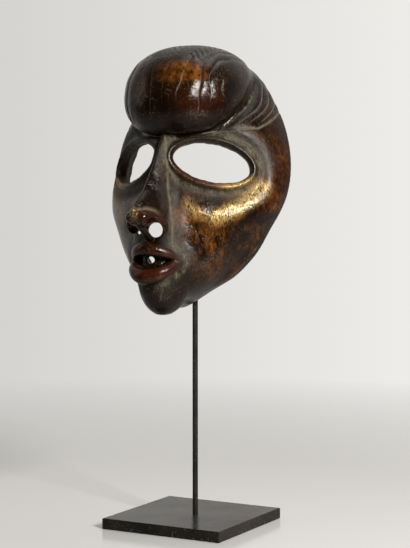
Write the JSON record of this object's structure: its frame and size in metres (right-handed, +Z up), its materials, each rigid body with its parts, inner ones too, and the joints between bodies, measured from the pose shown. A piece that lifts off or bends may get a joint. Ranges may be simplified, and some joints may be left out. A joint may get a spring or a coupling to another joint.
{
  "type": "wooden face mask on stand",
  "caption": "Carved hollow wooden face mask with a roll of hair, pierced eyes, nostrils and mouth, held up by a bent steel rod on a square steel plinth.",
  "frame": {"origin": "centre of the underside of the plinth", "axes": "+Z up, the face looks along -Y, and +X is the mask's own left"},
  "size_m": [0.1772, 0.166, 0.4367],
  "materials": {
    "polished_wood": "dark brown, worn to a high gloss, dusty in the grooves",
    "rod_steel": "blackened, satin",
    "plinth_steel": "browned plate, satin, edges worn in small chips"
  },
  "bodies": {
    "root": {"mask": "polished_wood", "rod": "rod_steel", "plinth": "plinth_steel"}
  },
  "joints": []
}
